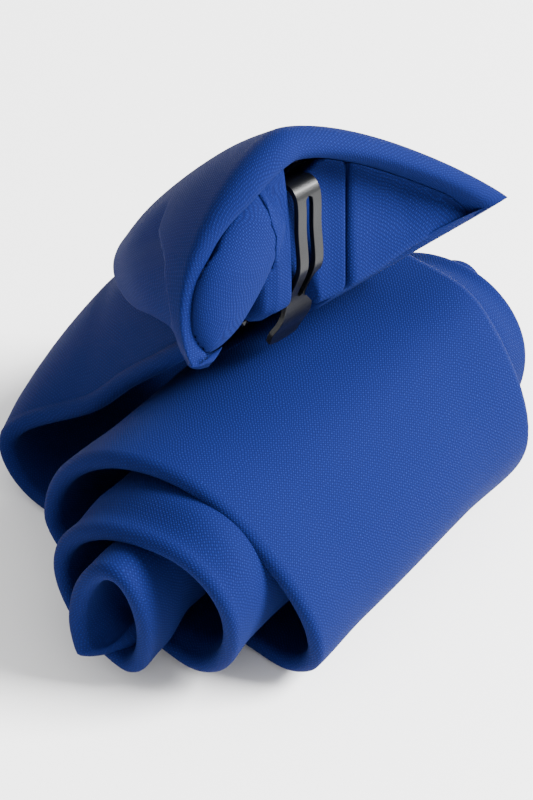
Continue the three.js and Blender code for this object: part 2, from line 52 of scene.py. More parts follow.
MM = 0.001

view_back = np.array([
    math.sin(VIEW_TURN) * math.cos(VIEW_RISE),
    -math.cos(VIEW_TURN) * math.cos(VIEW_RISE),
    math.sin(VIEW_RISE),
])
camera_data = bpy.data.cameras.new("camera")
camera_data.lens = LENS
camera_data.sensor_width = SENSOR
camera_data.clip_end = 20
camera = bpy.data.objects.new("camera", camera_data)
camera.location = (VIEW_TARGET + view_back * VIEW_DISTANCE) * MM
camera.rotation_euler = (math.pi / 2 - VIEW_RISE, 0, VIEW_TURN)
bpy.context.scene.collection.objects.link(camera)
bpy.context.scene.camera = camera


# The studio: a plain pale floor, a white room and one large soft lamp above the far right.
# The floor is painted board, and the lamp a wide cloth box.
FLOOR_HALF = 2000
FLOOR_DROP = 0.2  # keeps the floor's face clear of the cloth that lies on it
FLOOR_WHITE = "#fbfbfb"
ROOM_LIGHT = 1.25
LAMP_POWER = 84
LAMP_WIDTH = 0.55
LAMP_PLACE = (0.8, 0.5, 0.8)


def linear(colour):
    """An sRGB hex colour as linear RGBA."""
    levels = np.array([int(colour[i:i + 2], 16) for i in (1, 3, 5)]) / 255
    values = np.where(levels <= 0.04045, levels / 12.92, ((levels + 0.055) / 1.055) ** 2.4)
    return (*values.tolist(), 1.0)


def node(tree, kind, links=None, **settings):
    """Adds one shader node. links maps its inputs to values or to other nodes' outputs."""
    made = tree.nodes.new(kind)
    for key, value in settings.items():
        setattr(made, key, value)
    for key, value in (links or {}).items():
        if isinstance(value, bpy.types.NodeSocket):
            tree.links.new(value, made.inputs[key])
        else:
            made.inputs[key].default_value = value
    return made


def new_material(name):
    """A material with only its principled shader, which is returned with it and its tree."""
    material = bpy.data.materials.new(name)
    material.use_nodes = True
    tree = material.node_tree
    return material, tree, tree.nodes["Principled BSDF"]


def add_mesh(name, points, faces, material, uv=None):
    """A smooth mesh from points in millimetres. uv has one row for each corner of each face."""
    mesh = bpy.data.meshes.new(name)
    mesh.from_pydata((points * MM).tolist(), [], [list(face) for face in faces])
    mesh.shade_smooth()
    if uv is not None:
        layer = mesh.uv_layers.new(name="cloth_mm")
        layer.data.foreach_set("uv", uv.astype(np.float32).ravel())
    mesh.materials.append(material)
    made = bpy.data.objects.new(name, mesh)
    bpy.context.scene.collection.objects.link(made)
    turn_out(mesh)
    return made


def turn_out(mesh):
    """Turns a closed mesh's faces outwards, by the sign of its volume."""
    mesh.calc_loop_triangles()
    corners = np.empty(len(mesh.loop_triangles) * 3, np.int32)
    mesh.loop_triangles.foreach_get("vertices", corners)
    points = np.empty(len(mesh.vertices) * 3, np.float32)
    mesh.vertices.foreach_get("co", points)
    a, b, c = points.reshape(-1, 3)[corners.reshape(-1, 3)].transpose(1, 0, 2).astype(float)
    if (a * np.cross(b, c)).sum() < 0:
        mesh.flip_normals()


floor_material, _, floor_shader = new_material("painted_board")
floor_shader.inputs["Base Color"].default_value = linear(FLOOR_WHITE)
floor_shader.inputs["Roughness"].default_value = 0.9
floor_points = np.array([[-1, -1, 0], [1, -1, 0], [1, 1, 0], [-1, 1, 0]]) * FLOOR_HALF
floor = add_mesh("floor", floor_points - [0, 0, FLOOR_DROP], [(0, 1, 2, 3)], floor_material)

world = bpy.data.worlds.new("room")
world.use_nodes = True
world.node_tree.nodes["Background"].inputs["Color"].default_value = (1, 1, 1, 1)
world.node_tree.nodes["Background"].inputs["Strength"].default_value = ROOM_LIGHT
bpy.context.scene.world = world

lamp_data = bpy.data.lights.new("cloth_box", "AREA")
lamp_data.energy = LAMP_POWER
lamp_data.size = LAMP_WIDTH
lamp = bpy.data.objects.new("cloth_box", lamp_data)
lamp.location = LAMP_PLACE
aim = np.array(LAMP_PLACE) - VIEW_TARGET * MM
lamp.rotation_euler = (
    math.atan2(math.hypot(aim[0], aim[1]), aim[2]),
    0,
    math.atan2(aim[1], aim[0]) + math.pi / 2,
)
bpy.context.scene.collection.objects.link(lamp)


# The tie's cloth: royal blue polyester in a fine basket weave, cut on the bias, so that its
# threads run at 45 degrees to the tie. It is matte, with a soft sheen. Its colour holds painted
# shade, darker down in the hollows between the threads, and a painted highlight, a lighter
# speck where a thread comes over the top.
# The deep colour is painted shade, for the hollows between the threads.
CLOTH_HOLLOW_SHADE = "#070f3a"
CLOTH_BLUE = "#0b1b57"
# The speck colour is a painted highlight on the thread crowns, and also tints the real sheen.
CLOTH_GLINT_AND_SHEEN = "#2f4a88"
THREAD_PITCH = 0.38  # a real thread is 0.25 mm, too fine to show at this size
WEAVE_DEPTH = 0.10
THREAD_DRIFT = 0.8  # how far a thread wanders from its line
DRIFT_SCALE = 0.35
UNDER_HEIGHT = 0.55  # the lower set of threads, as a share of the upper one's height
PATCH_SCALE = 1.6
# How strong the painted highlight on the crowns is.
GLINT_STRENGTH = 0.22


def woven_cloth(name):
    """Bias-cut basket weave over the piece's own UV map, which is in millimetres.

    Along the two threads' directions a and b, a cell's height is |sin a| * |sin b|, and every
    other cell belongs to the other set of threads and lies a little lower. The colour darkens with
    that height into the hollows between the threads, which is painted shade. The specks on the
    crowns are painted highlights, and they come and go in soft patches. A Map Range node's inputs 1
    and 2 are the range it maps from, and 3 and 4 the range it maps to.
    """
    material, tree, shader = new_material(name)
    place = node(tree, "ShaderNodeUVMap", uv_map="cloth_mm")
    wobble = node(tree, "ShaderNodeTexNoise", {
        "Vector": place.outputs["UV"], "Scale": DRIFT_SCALE, "Detail": 2.0,
    })
    drift = node(tree, "ShaderNodeVectorMath", {
        0: wobble.outputs["Color"], 1: (0.5, 0.5, 0.5),
    }, operation="SUBTRACT")
    drift = node(tree, "ShaderNodeVectorMath", {0: drift.outputs[0], 3: THREAD_DRIFT}, operation="SCALE")
    bent = node(tree, "ShaderNodeVectorMath", {
        0: place.outputs["UV"], 1: drift.outputs[0],
    }, operation="ADD")
    turned = node(tree, "ShaderNodeMapping", {
        "Vector": bent.outputs[0],
        "Rotation": (0, 0, math.radians(45)),
        "Scale": (math.pi / THREAD_PITCH,) * 3,
    })
    axes = node(tree, "ShaderNodeSeparateXYZ", {0: turned.outputs[0]})
    across = node(tree, "ShaderNodeMath", {0: axes.outputs["X"]}, operation="SINE")
    along = node(tree, "ShaderNodeMath", {0: axes.outputs["Y"]}, operation="SINE")
    product = node(tree, "ShaderNodeMath", {
        0: across.outputs[0], 1: along.outputs[0],
    }, operation="MULTIPLY")
    height = node(tree, "ShaderNodeMath", {0: product.outputs[0]}, operation="ABSOLUTE")
    over = node(tree, "ShaderNodeMath", {0: product.outputs[0], 1: 0.0}, operation="GREATER_THAN")
    level = node(tree, "ShaderNodeMapRange", {0: over.outputs[0], 3: UNDER_HEIGHT, 4: 1.0})
    pillow = node(tree, "ShaderNodeMath", {
        0: height.outputs[0], 1: level.outputs[0],
    }, operation="MULTIPLY")

    patches = node(tree, "ShaderNodeTexNoise", {
        "Vector": place.outputs["UV"], "Scale": PATCH_SCALE, "Detail": 4.0,
    })
    # Painted highlights: a lighter speck on each thread crown, larger in some soft patches than in
    # others.
    glint_size = node(tree, "ShaderNodeMapRange", {
        0: patches.outputs["Fac"], 1: 0.4, 2: 0.75, 3: 0.98, 4: 0.7,
    })
    painted_glint = node(tree, "ShaderNodeMapRange", {
        0: pillow.outputs[0], 1: glint_size.outputs[0], 2: 1.0, 3: 0.0, 4: GLINT_STRENGTH,
    })
    # Painted shade: the colour darkens from the thread crowns down into the hollows, following the
    # weave's height.
    body = node(tree, "ShaderNodeMix", {
        0: pillow.outputs[0], "A": linear(CLOTH_HOLLOW_SHADE), "B": linear(CLOTH_BLUE),
    }, data_type="RGBA")
    colour = node(tree, "ShaderNodeMix", {
        0: painted_glint.outputs[0], "B": linear(CLOTH_GLINT_AND_SHEEN),
    }, data_type="RGBA")
    tree.links.new(body.outputs["Result"], colour.inputs["A"])
    relief = node(tree, "ShaderNodeBump", {
        "Height": pillow.outputs[0], "Strength": 0.55, "Distance": WEAVE_DEPTH * MM,
    })
    tree.links.new(colour.outputs["Result"], shader.inputs["Base Color"])
    tree.links.new(relief.outputs["Normal"], shader.inputs["Normal"])
    shader.inputs["Roughness"].default_value = 0.85
    shader.inputs["Specular IOR Level"].default_value = 0.07
    shader.inputs["Sheen Weight"].default_value = 0.04
    shader.inputs["Sheen Roughness"].default_value = 0.5
    shader.inputs["Sheen Tint"].default_value = linear(CLOTH_GLINT_AND_SHEEN)
    return material


tie_cloth = woven_cloth("bias_cut_basket_weave")


# The blade: one long tube of cloth pressed flat round a wool interlining. It is rolled up from
# its point, leaves the roll along the floor, turns over softly and climbs into the knot,
# arching across its width as it narrows.
BLADE_WIDTH = 94
POINT_LENGTH = 40
NECK_WIDTH = 32.6
CLOTH = 2.0
EDGE = 3.0
EDGE_ROLL = 12
GAP = 0.3
LAYER_PITCH = (CLOTH + EDGE) / 2 + GAP
ROLL_WIDTH = 47
ROLL_HEIGHT = 31.6
ROLL_CENTRE_X = 12
SAG_SPREAD = 6
RIM_STEPS = (15.5, 8.5, 3.5)  # how far in from the rim each turn starts to sag
FAR_LIFT = 7
TURN_REACH = 20.5
TURN_RISE = 7
TURN_FOOT = 9
TURN_BOW = 4
NECK_FOOT = (-16, 21.5)
NECK_FOOT_ANGLE = 40
NECK_FOOT_BOW = 14
NECK_FOOT_FOLLOW = 0.6  # how far the blade has turned to the knot's twist there
LEAST_HANDLE = 0.2
STRAIGHT = 0.02  # a turn of fewer radians is drawn as a straight stretch
# turn: turns outside this row. x, z: shares of the roll's width and free height.
# heading: degrees. sag: drop of the near rim, in layers. lift: rise of the far rim.
ROLL_PATH = [
    # turn, x, z, heading, sag, lift
    (3, -0.22, 0.73, -90, 1.6, 0),
    (3, -0.22, 0.51, -90, 1.6, 0),
    (3, -0.25, 0.31, 180, 1.8, 0),
    (3, -0.28, 0.51, 90, 1.6, 0),
    (3, -0.22, 1.0, 0, 1.2, 0),
    (3, 0.2, 0.61, -90, 1.6, 0),
    (3, -0.234, 0.0, 180, 2.6, 0),
    (2, -0.279, 0.47, 90, 1.6, 0),
    (2, -0.134, 1.0, 0, 1.1, 0),
    (2, 0.202, 0.55, -90, 1.25, 0),
    (2, -0.151, 0.0, 180, 1.4, 0),
    (1, -0.37, 0.5, 90, 0.7, 0),
    (1, 0.145, 1.0, 0, 0.8, 0.2),
    (1, 0.385, 0.54, -90, 0.55, 0.2),
    (1, 0.145, 0.0, 180, 0.8, 0),
    (0, -0.5, 0.41, 90, 0, 0),
    (0, -0.032, 1.0, 0, 0, 0.3),
    (0, 0.28, 0.8, -42, 0, 0.9),
    (0, 0.497, 0.27, -90, 0, 0.6),
    (0, 0.3, 0.0, 180, 0, 0),
]
KNOT_WIDTH = 54
KNOT_DEPTH = 24
KNOT_HEIGHT = 48
KNOT_LEAN = math.radians(47)
KNOT_TWIST = math.radians(8.7)
KNOT_ORIGIN = np.array([15.2, 1.8, 48])
KNOT_WALL = 2.2
NECK_END = -0.15
NECK_IN = -0.6
NECK_CROWN = 16.26
FACE_COLUMNS = 61
EDGE_COLUMNS = 7
RIPPLE = 0.12  # the faint unevenness of pressed cloth, and its lengths along and across
RIPPLE_ALONG = 9.0
RIPPLE_ACROSS = 7.5
RIPPLE_TURN = 23

KNOT_K = np.array([math.cos(KNOT_LEAN), 0, math.sin(KNOT_LEAN)])
plain_out = np.array([-math.sin(KNOT_LEAN), 0, math.cos(KNOT_LEAN)])
KNOT_W = math.cos(KNOT_TWIST) * np.array([0, 1, 0]) - math.sin(KNOT_TWIST) * plain_out
KNOT_N = math.cos(KNOT_TWIST) * plain_out + math.sin(KNOT_TWIST) * np.array([0, 1, 0])


def in_knot(w, n, k):
    """Millimetres across, out of and up through the knot, as points in the model's frame."""
    w, n, k = np.broadcast_arrays(w, n, k)
    return KNOT_ORIGIN + w[..., None] * KNOT_W + n[..., None] * KNOT_N + k[..., None] * KNOT_K


def smooth(t):
    """0 to 1 with level ends: 3t^2 - 2t^3."""
    t = np.clip(t, 0, 1)
    return t * t * (3 - 2 * t)


def blade_rows():
    """The path's rows as x, z, heading, sag, lift, bow and follow, one column each."""
    rows = []
    for turn, x, z, heading, sag, lift in ROLL_PATH:
        free = ROLL_HEIGHT - 2 * turn * LAYER_PITCH
        rows.append((
            ROLL_CENTRE_X + x * ROLL_WIDTH - np.sign(x) * turn * LAYER_PITCH,
            EDGE / 2 + turn * LAYER_PITCH + z * free,
            heading, sag, lift, 0, 0,
        ))
    left = ROLL_CENTRE_X - ROLL_WIDTH / 2 - TURN_REACH
    rows.append((left + TURN_FOOT, EDGE / 2, 180, 0, 0, 0, 0))
    rows.append((left, EDGE / 2 + TURN_RISE, 90, 0, 0, TURN_BOW, 0))
    rows.append((*NECK_FOOT, NECK_FOOT_ANGLE, 0, 0, NECK_FOOT_BOW, NECK_FOOT_FOLLOW))
    seat = KNOT_WALL + 2 * GAP + EDGE / 2
    for k in (NECK_IN, NECK_END):
        x, _, z = in_knot(0, seat, k * KNOT_HEIGHT)
        rows.append((x, z, math.degrees(KNOT_LEAN), 0, 0, NECK_CROWN, 1))
    return np.array(rows, float)


def blade_path(rows, turn_step=5, length_step=2):
    """Dense stations along the rows: a cubic arc between each two, its ends along their headings."""
    pieces = []
    for a, b in zip(rows[:-1], rows[1:]):
        turn = abs(a[2] - b[2]) % 360
        turn = math.radians(min(turn, 360 - turn))
        chord = b[:2] - a[:2]
        length = np.hypot(*chord)
        reach = 4 / 3 * math.tan(turn / 4) / math.sin(turn) if turn > STRAIGHT else 1 / 3
        ends = []
        for heading in (a[2], b[2]):
            way = np.array([math.cos(math.radians(heading)), math.sin(math.radians(heading))])
            ends.append(way * max(chord @ way, LEAST_HANDLE * length) * reach)
        steps = max(1, math.ceil(math.degrees(turn) / turn_step), math.ceil(length / length_step))
        t = np.arange(steps)[:, None] / steps
        u = 1 - t
        leaving = u**3 * a[:2] + 3 * u * u * t * (a[:2] + ends[0])
        place = leaving + 3 * u * t * t * (b[:2] - ends[1]) + t**3 * b[:2]
        rest = a[3:] + (b[3:] - a[3:]) * smooth(t)
        pieces.append(np.hstack([place, rest]))
    last = rows[-1][[0, 1, 3, 4, 5, 6]]
    return np.vstack([*pieces, last])


def ring_faces(rows, columns, close_rows=False):
    """Quads over a grid whose columns close on themselves, and whose rows may too."""
    i = np.arange(rows if close_rows else rows - 1)[:, None]
    j = np.arange(columns)[None, :]
    i2, j2 = (i + 1) % rows, (j + 1) % columns
    corners = [i * columns + j, i * columns + j2, i2 * columns + j2, i2 * columns + j]
    return np.stack(np.broadcast_arrays(*corners), -1).reshape(-1, 4)


def ring_uv(u, v):
    """The corners' UV for ring_faces, from u and v at its points, with the closing ones repeated."""
    corners = []
    for down, right in ((0, 0), (0, 1), (1, 1), (1, 0)):
        part = slice(down, down + u.shape[0] - 1), slice(right, right + u.shape[1] - 1)
        corners.append(np.stack([u[part], v[part]], -1))
    return np.stack(corners, 2).reshape(-1, 2)


def lengths(rings, axis, close):
    """Lengths summed along one direction of a grid, which may close on itself."""
    if close:
        rings = np.concatenate([rings, rings.take([0], axis)], axis)
    steps = np.linalg.norm(np.diff(rings, axis=axis), axis=2)
    start = np.zeros_like(steps.take([0], axis))
    return np.concatenate([start, np.cumsum(steps, axis)], axis)


def add_tube(name, rings, material, u, v):
    """A closed piece from rings of points, with a fan over each end."""
    rows, columns = rings.shape[:2]
    count = rows * columns
    j = np.arange(columns)
    j2 = (j + 1) % columns
    quads = ring_faces(rows, columns)
    start = np.stack([j2, j, np.full(columns, count)], -1)
    end = np.stack([count - columns + j, count - columns + j2, np.full(columns, count + 1)], -1)
    points = np.vstack([rings.reshape(-1, 3), rings[0].mean(0), rings[-1].mean(0)])
    uv = np.vstack([ring_uv(u, v), np.zeros((6 * columns, 2))])
    return add_mesh(name, points, [*quads.tolist(), *start.tolist(), *end.tolist()], material, uv)


def make_blade():
    """The blade's rings along its path.

    At each station the section runs across at y, from edge to edge: its two faces lie half its
    thickness either side of the middle, raised by bow * (1 - (y/half)^2), and its edges are half
    rounds. The near and far rims drop towards the floor by sag, and the far one rises by lift.
    """
    path = blade_path(blade_rows())
    x, z, sag, lift, bow, follow = path.T
    s = np.concatenate([[0], np.cumsum(np.hypot(np.diff(x), np.diff(z)))])
    slope = np.stack([np.gradient(x), np.gradient(z)], -1)
    slope /= np.linalg.norm(slope, axis=1)[:, None]
    total = s[-1]
    taper = (BLADE_WIDTH - NECK_WIDTH) / 2 / (total - POINT_LENGTH)
    sides = BLADE_WIDTH / 2 - taper * np.maximum(s - POINT_LENGTH, 0)
    half = np.maximum(np.minimum(sides, BLADE_WIDTH / 2 * s / POINT_LENGTH), EDGE) - EDGE / 2
    twist = KNOT_TWIST * follow
    shift = KNOT_ORIGIN[1] * follow
    across = np.stack([np.sin(twist) * slope[:, 1], np.cos(twist), -np.sin(twist) * slope[:, 0]], -1)
    out = np.stack([-np.cos(twist) * slope[:, 1], np.sin(twist), np.cos(twist) * slope[:, 0]], -1)

    share = np.sin(np.linspace(-1, 1, FACE_COLUMNS) * math.pi / 2)
    bend = np.radians(np.linspace(90, -90, EDGE_COLUMNS + 2))[1:-1]
    face_y = half[:, None] * share
    toward_edge = np.clip((half[:, None] - abs(face_y)) / EDGE_ROLL, 0, 1)
    thick = (EDGE + (CLOTH - EDGE) * smooth(toward_edge)) / 2
    arch = bow[:, None] * (1 - share**2)
    waves = np.sin(face_y / RIPPLE_ACROSS + s[:, None] / RIPPLE_TURN)
    ripple = RIPPLE * np.sin(s / RIPPLE_ALONG)[:, None] * waves
    right_y = half[:, None] + EDGE / 2 * np.cos(bend)
    right_out = np.broadcast_to(EDGE / 2 * np.sin(bend), right_y.shape)
    y = np.hstack([face_y, right_y, face_y[:, ::-1], -right_y[:, ::-1]])
    under = -(thick - arch)[:, ::-1] + ripple[:, ::-1]
    off = np.hstack([thick + arch + ripple, right_out, under, right_out[:, ::-1]])

    inner_y = np.clip(y, -half[:, None], half[:, None])
    drop = 0
    for turn, start in enumerate(RIM_STEPS):
        from_rim = (abs(inner_y) - (BLADE_WIDTH / 2 - start)) / SAG_SPREAD
        drop = drop + np.clip(sag - turn, 0, 1)[:, None] * smooth(from_rim)
    rise = lift[:, None] * FAR_LIFT * (inner_y / half[:, None] + 1) / 2 - drop * LAYER_PITCH
    middle = np.stack([x, shift, z], -1)[:, None]
    rings = middle + y[..., None] * across[:, None] + off[..., None] * out[:, None]
    rings[..., 2] += rise

    u = lengths(rings, 1, True)
    u -= u[:, [FACE_COLUMNS // 2]]
    v = np.broadcast_to(s[:, None], u.shape)
    return add_tube("blade_cloth", rings, tie_cloth, u, v), total


blade, blade_length = make_blade()
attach(blade, "root")
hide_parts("blade")


# The knot's wrap: padded cloth, tied and pressed once at the maker's. Its front rim is turned
# over to a band, its left side has a crease below the band, and its hem is open at the bottom.
RIM_FOLD = 6
RIM_FOLD_SPREAD = 0.6  # how far from the left tip the fold grows, by 1 + cos of the angle
WING_WALL = 4.5
LEFT_WING_WALL = 3.4
WING_BLEND = 12
BACK_BEND = 2  # with the next value, the back's section is half an ellipse
BACK_ROUND = 0.5
# The knot's sections from bottom to top. left, right, front, back: reach, and at_: height, as
# shares of the knot's sizes. peak, mid: the arch's top and foot. round, bend, ease: powers that
# shape the arch and its edge. fold, wing: how much of the thicker walls a section has.
SECTIONS = {
    "left": (0.395, 0.45, 0.485, 0.497),
    "right": (0.4, 0.43, 0.485, 0.54),
    "front": (0.99, 1.09, 1.11, 1.04),
    "back": (0.02, 0.03, 0.03, 0.025),
    "peak": (0, -0.01, -0.04, -0.09),
    "mid": (0.013, 0.02, 0.033, 0.04),
    "left_mid": (0.3, 0.1, 0.1, 0.05),
    "left_round": (0.36, 0.37, 0.38, 0.39),
    "left_bend": (2, 2, 1.85, 1.6),
    "right_round": (0.4, 0.5, 0.7, 0.93),
    "right_bend": (2, 1.95, 1.8, 1.42),
    "fold": (0, 0, 0.3, 1),
    "wing": (0, 0.2, 0.6, 1),
    "at_left": (-0.19, -0.1, -0.04, -0.02),
    "at_front": (-0.645, -0.355, 0, 0.365),
    "at_right": (-0.19, -0.05, 0.14, 0.33),
    "at_back": (-0.25, -0.2, -0.12, -0.01),
    "left_ease": (1.05, 1, 1.1, 1.3),
    "right_ease": (0.75, 0.9, 1.6, 2),
}
RIM_SECTION = 3
RIM_FROM = 2.8  # where the rounding of the rim starts, in sections
HEM_FROM = 0.12
# The notch in the back for the clip: its two sides, and the section where it starts.
NOTCH_W = (-22, 4)
NOTCH_SPREAD = 2
NOTCH_FROM = 0.15
MEASURED_AT = 2.0  # the section on which the notch's and the lip's places across are measured
BACK_SPREAD = 4
# The notch's columns are folded onto the hem, and so leave no wall: they start to fold where
# the notch is half deep, and keep a sliver so that no two points fall together.
OPEN_FROM = 0.5
OPEN_SPREAD = 0.4
OPEN_MOST = 0.995
# Beside the notch, the back rim ends under the folds that lie over it.
LIP_DROP = 0.25
LIP_W = (-15, 18)
LIP_SPREAD = (4, 6)
WRAP_ANGLES = 256
WRAP_ROWS = 60
HEM_ROWS = 5
# The crease: a step pressed into the left side below the line of CREASE_K over CREASE_N.
CREASE_DEPTH = 1.7
CREASE_N = (8, 9.6, 12, 14.4, 17.4, 19.5, 21.7)
CREASE_K = (-2.3, -1.0, -0.4, -0.4, -0.5, -2.0, -4.2)
CREASE_STEP = 0.9
CREASE_FADE = 9
CREASE_END_W = -12
CREASE_END_N = 4
CREASE_SPREAD = (6, 4)


def section_at(name, t):
    """A section's value between the table's rows, on a Catmull-Rom curve through them."""
    row = SECTIONS[name]
    p = np.array([2 * row[0] - row[1], *row, 2 * row[-1] - row[-2]], float)
    i = np.clip(np.floor(t).astype(int), 0, len(row) - 2)
    f = t - i
    a, b, c, d = p[i], p[i + 1], p[i + 2], p[i + 3]
    return b + 0.5 * f * (c - a + f * (2 * a - 5 * b + 4 * c - d + f * (3 * (b - c) + d - a)))


def wrap_face(t, angle, inner=False, inset=0.0):
    """The wrap's outer or inner face at the height t and the angle round the knot.

    Across, w = peak + side cos(angle). Out, n = depth (1 - |cos|^bend)^round. Up, k goes from
    the side's height to the front's or back's by |sin|^ease.
    """
    t, angle = np.broadcast_arrays(t, angle)
    at = {name: section_at(name, t) for name in SECTIONS}
    c, s = np.cos(angle), np.sin(angle)
    right, ahead = c > 0, s > 0
    wing = KNOT_WALL + at["wing"] * (np.where(right, WING_WALL, LEFT_WING_WALL) - KNOT_WALL)
    reach = np.where(right, at["right"] - at["peak"], at["left"] + at["peak"])
    fold = at["fold"] * (RIM_FOLD - KNOT_WALL) * smooth((c + 1) / RIM_FOLD_SPREAD)
    side = KNOT_WIDTH * reach - inset - (wing if inner else 0)
    wall = KNOT_WALL + np.where(ahead, fold, 0) if inner else 0
    depth = KNOT_DEPTH * np.where(ahead, at["front"], at["back"]) - wall - inset
    bend = np.where(ahead, np.where(right, at["right_bend"], at["left_bend"]), BACK_BEND)
    power = np.where(ahead, np.where(right, at["right_round"], at["left_round"]), BACK_ROUND)
    arch = np.clip(1 - abs(c)**bend, 0, 1)**power
    side_out = np.where(right, at["mid"], at["mid"] + (at["left_mid"] - at["mid"]) * c**WING_BLEND)
    out = KNOT_DEPTH * np.where(ahead, side_out + (at["mid"] - side_out) * arch, side_out)
    end = np.where(right, at["at_right"], at["at_left"])
    face = np.where(ahead, at["at_front"], at["at_back"])
    ease = np.where(right, at["right_ease"], at["left_ease"])
    k = KNOT_HEIGHT * (end + (face - end) * abs(s)**ease)
    return np.stack([KNOT_WIDTH * at["peak"] + side * c, out + np.sign(s) * depth * arch, k], -1)


def grid_normals(rings, middle=(0, 10, 0)):
    """Unit normals of a grid whose columns close on themselves, facing away from its middle."""
    along = np.gradient(rings, axis=0)
    around = np.roll(rings, -1, 1) - np.roll(rings, 1, 1)
    normals = np.cross(around, along)
    normals /= np.maximum(np.linalg.norm(normals, axis=-1, keepdims=True), 1e-9)
    outward = ((rings - middle) * [1, 1, 0] * normals).sum(-1, keepdims=True)
    return normals * np.sign(outward)


def round_cap(start, end, crest, steps=9, power=0.85):
    """Rings of a rounded edge from one ring to another, with its top at crest."""
    middle = (start + end) / 2
    rings = []
    for angle in np.linspace(0, math.pi, steps + 2)[1:-1]:
        lean = math.copysign(abs(math.cos(angle))**power, math.cos(angle))
        rings.append(middle + (start - middle) * lean + (crest - middle) * math.sin(angle)**power)
    return np.array(rings)


def make_wrap():
    """The wrap as one grid: up its outer face, over the rim, down its inner face, round the hem.

    Behind the clip its top dips from the rim's height to the notch's, over w. On the left side
    the outer face is pushed in by a step below the crease's line, which fades out further down.
    The threads keep one width all the way up, so u comes from a single row.
    """
    angle = np.linspace(0, 2 * math.pi, WRAP_ANGLES, endpoint=False)[None]
    across = wrap_face(MEASURED_AT, angle)[..., 0]
    dip = smooth((across - NOTCH_W[0]) / NOTCH_SPREAD) * smooth((NOTCH_W[1] - across) / NOTCH_SPREAD)
    lip_left = smooth((across - LIP_W[0]) / LIP_SPREAD[0])
    lip = LIP_DROP * lip_left * smooth((LIP_W[1] - across) / LIP_SPREAD[1])
    behind = smooth(-np.sin(angle) * BACK_SPREAD)
    top = RIM_FROM - np.maximum((RIM_FROM - NOTCH_FROM) * dip, lip) * behind
    t = HEM_FROM + (top - HEM_FROM) * np.linspace(0, 1, WRAP_ROWS)[:, None]
    outer = wrap_face(t, angle)
    inner = wrap_face(t, angle, inner=True)[::-1]

    level = np.interp(outer[..., 1], CREASE_N, CREASE_K) - outer[..., 2]
    depth = smooth(level / CREASE_STEP) * np.exp(-(np.maximum(level, 0) / CREASE_FADE)**2)
    depth = depth * smooth((CREASE_END_W - outer[..., 0]) / CREASE_SPREAD[0])
    depth = depth * smooth((outer[..., 1] - CREASE_END_N) / CREASE_SPREAD[1])
    outer = outer - CREASE_DEPTH * depth[..., None] * grid_normals(outer)

    above = top + RIM_SECTION - RIM_FROM
    crest = (wrap_face(above, angle) + wrap_face(above, angle, inner=True)) / 2
    hem = (wrap_face(0.0, angle) + wrap_face(0.0, angle, inner=True)) / 2
    rim = round_cap(outer[-1], inner[0], crest[0])
    bottom = round_cap(inner[-1], outer[0], hem[0], steps=HEM_ROWS)
    local = np.concatenate([outer, rim, inner, bottom])
    open_back = OPEN_MOST * (smooth((dip - OPEN_FROM) / OPEN_SPREAD) * behind)[..., None]
    local = local + (hem - local) * open_back
    rings = in_knot(*np.moveaxis(local, -1, 0))
    faces = ring_faces(*rings.shape[:2], close_rows=True)
    v = lengths(rings, 0, True)
    v = np.hstack([v, v[:, :1]])
    u = np.broadcast_to(lengths(rings[[WRAP_ROWS * 2 // 3]], 1, True), v.shape)
    return add_mesh("knot_wrap_cloth", rings.reshape(-1, 3), faces, tie_cloth, ring_uv(u, v))


wrap = make_wrap()
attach(wrap, "root")
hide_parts("knot_wrap")


# The folds in the knot's mouth: a soft roll of cloth left of the clip, a flat panel right of it,
# and the right wing's lining. Each is pressed against the wrap's inside.
FOLD_BOTTOM = -0.12
FOLD_ROUND = 1.0
FOLD_WALL_ROWS = 8
FOLD_CLEARANCE = 0.15
MOUTH_ANGLES = 180
MOUTH_ROWS = 70
SEAM_SHIFT = 6  # how far the seam between the panel and the lining runs left towards the back
SEAM_DEPTH = 18
# w: place across the knot. back and front: its n and k there, as shares. crown: arch between.
CORE = [
    # w, back n, back k, front n, front k, crown
    (-0.2, 0.14, -0.03, 0.9, 0.25, 0.02),
    (-0.15, 0.1, -0.02, 0.94, 0.275, 0.03),
    (-0.09, 0.1, -0.01, 0.94, 0.29, 0.02),
]
PANEL = [
    (-0.083, 0.24, 0.02, 0.78, 0.175, 0),
    (0.012, 0.24, 0.02, 0.79, 0.18, 0),
    (0.03, 0.03, 0.0, 0.79, 0.18, 0),
    (0.1, 0.02, 0.02, 0.84, 0.2, 0),
    (0.17, 0.02, 0.045, 0.84, 0.225, 0),
]
LINING = [
    (0.176, 0.02, 0.05, 0.76, 0.225, -0.01),
    (0.24, 0.02, 0.083, 0.69, 0.235, -0.015),
    (0.32, 0.05, 0.14, 0.6, 0.25, -0.02),
    (0.46, 0.05, 0.24, 0.4, 0.28, 0),
]

# The wrap's inner face as a grid of points, which the folds stay inside of.
mouth_angle = np.linspace(0, 2 * math.pi, MOUTH_ANGLES, endpoint=False)[None]
mouth_top = RIM_SECTION - LIP_DROP * (np.sin(mouth_angle) < 0)
mouth_t = mouth_top * np.linspace(0, 1, MOUTH_ROWS)[:, None]
mouth_grid = wrap_face(mouth_t, mouth_angle, inner=True, inset=FOLD_CLEARANCE)
mouth_out = grid_normals(mouth_grid).reshape(-1, 3)
mouth_points = mouth_grid.reshape(-1, 3)


def nearest(points, targets, batch=400):
    """For each point, the index of the closest target, worked out in batches to save memory."""
    found = []
    for part in np.array_split(points, max(1, len(points) // batch)):
        found.append(((part[:, None] - targets[None])**2).sum(2).argmin(1))
    return np.concatenate(found)


